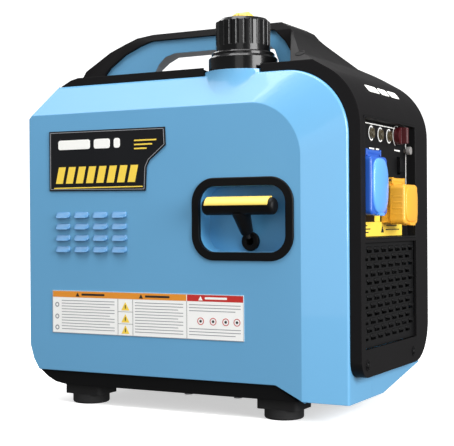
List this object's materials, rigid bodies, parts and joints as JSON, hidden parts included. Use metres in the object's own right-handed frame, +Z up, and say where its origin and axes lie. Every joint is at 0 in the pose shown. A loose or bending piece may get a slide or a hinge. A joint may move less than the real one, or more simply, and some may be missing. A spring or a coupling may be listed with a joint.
{
  "type": "inverter generator",
  "caption": "Suitcase inverter generator: bevelled side covers, dark handle spine, recoil starter grip, filler cap, end panel with lidded outlets and vents.",
  "frame": {"origin": "on the floor under the middle of the body, between the feet", "axes": "+X to the control end, -Y to the starter side, +Z up"},
  "size_m": [0.477, 0.3087, 0.484],
  "materials": {
    "blue_plastic": "fine textured moulded, satin",
    "dark_plastic": "fine textured moulded",
    "black_plastic": "moulded, satin",
    "rubber": "matt",
    "yellow_plastic": "satin",
    "blue_outlet": "gloss",
    "red_plastic": "satin",
    "grey_plastic": "satin",
    "rope": "braided",
    "aluminium": "die-cast",
    "steel": "satin",
    "cast": "as cast",
    "lamp": "gloss",
    "badge": "satin",
    "label": "printed film"
  },
  "bodies": {
    "root": {"air_filter_box": "black_plastic", "badge_plate": "badge", "base_tray": "black_plastic", "blue_outlet": "blue_outlet", "carburettor": "aluminium", "case_screws": "steel", "control_box": "black_plastic", "control_panel": "dark_plastic", "crankcase": "aluminium", "crankcase_cover": "aluminium", "cylinder": "aluminium", "cylinder_head": "aluminium", "engine_mounts": "rubber", "exhaust_end_panel": "dark_plastic", "filler_collar": "black_plastic", "filler_strainer": "black_plastic", "front_shell": "blue_plastic", "fuel_hose": "black_plastic", "fuel_tank": "black_plastic", "fuel_valve": "black_plastic", "ground_terminal": "steel", "handle_liner": "blue_plastic", "ignition_coil": "black_plastic", "indicator_lamps": "lamp", "info_label": "label", "intake_grille": "dark_plastic", "inverter_module": "aluminium", "lid_pins": "steel", "muffler": "steel", "oil_dipstick": "yellow_plastic", "plug_cap": "black_plastic", "rear_shell": "blue_plastic", "recoil_housing": "black_plastic", "rocker_cover": "aluminium", "rope_guide": "black_plastic", "rubber_feet": "rubber", "service_door": "blue_plastic", "spark_plug": "steel", "spine_frame": "dark_plastic", "starter_bezel": "black_plastic", "starter_pocket": "blue_plastic", "stator": "cast", "tail_pipe": "steel", "yellow_outlet": "yellow_plastic"},
    "starter_pull": {"starter_grip": "black_plastic", "grip_inlay": "yellow_plastic", "starter_rope": "rope"},
    "reel": {"recoil_reel": "black_plastic"},
    "crank": {"crankshaft": "steel", "rotor_fan": "cast"},
    "piston_set": {"piston": "steel", "connecting_rod": "steel"},
    "cap_core": {"cap_gasket": "rubber"},
    "cap_shell": {"fuel_cap": "black_plastic"},
    "vent": {"vent_knob": "yellow_plastic"},
    "blue_lid": {"blue_outlet_lid": "blue_outlet"},
    "yellow_lid": {"yellow_outlet_lid": "yellow_plastic"},
    "run_control": {"run_knob": "red_plastic"},
    "rocker": {"rocker_switch": "black_plastic"},
    "breaker": {"breaker_button": "grey_plastic"}
  },
  "joints": [
    {"name": "starter_pull", "type": "slide", "parent": "root", "child": "starter_pull", "axis": [0.0423, -0.5927, 0.8043], "range_m": [0, 0.45]},
    {"name": "reel_spin", "type": "hinge", "parent": "root", "child": "reel", "pos_m": [0.044, -0.0945, 0.165], "axis": [0, -1, 0], "range_deg": [0, 620]},
    {"name": "crank_spin", "type": "hinge", "parent": "root", "child": "crank", "pos_m": [0.044, 0, 0.165], "axis": [0, -1, 0], "continuous": true},
    {"name": "piston_slide", "type": "slide", "parent": "root", "child": "piston_set", "axis": [1, 0, 0], "range_m": [0, 0.036]},
    {"name": "cap_lift", "type": "slide", "parent": "root", "child": "cap_core", "axis": [0, 0, 1], "range_m": [0, 0.15]},
    {"name": "cap_turn", "type": "hinge", "parent": "cap_core", "child": "cap_shell", "pos_m": [0.062, -0.088, 0.45], "axis": [0, 0, 1], "range_deg": [0, 360]},
    {"name": "vent_turn", "type": "hinge", "parent": "cap_shell", "child": "vent", "pos_m": [0.062, -0.088, 0.48], "axis": [0, 0, 1], "range_deg": [0, 90]},
    {"name": "blue_lid_hinge", "type": "hinge", "parent": "root", "child": "blue_lid", "pos_m": [0.222, -0.074, 0.311], "axis": [0, -1, 0], "range_deg": [0, 95]},
    {"name": "yellow_lid_hinge", "type": "hinge", "parent": "root", "child": "yellow_lid", "pos_m": [0.226, -0.001, 0.28], "axis": [0, -1, 0], "range_deg": [0, 95]},
    {"name": "run_turn", "type": "hinge", "parent": "root", "child": "run_control", "pos_m": [0.215, 0.032, 0.337], "axis": [1, 0, 0], "range_deg": [0, 90]},
    {"name": "rocker_tilt", "type": "hinge", "parent": "root", "child": "rocker", "pos_m": [0.213, 0.04, 0.3], "axis": [0, 1, 0], "range_deg": [-7, 7]},
    {"name": "breaker_press", "type": "slide", "parent": "root", "child": "breaker", "axis": [-1, 0, 0], "range_m": [0, 0.003]}
  ],
  "couplings": [
    {"joint": "reel_spin", "follows": "starter_pull", "rad_per_m": 23.809}
  ]
}
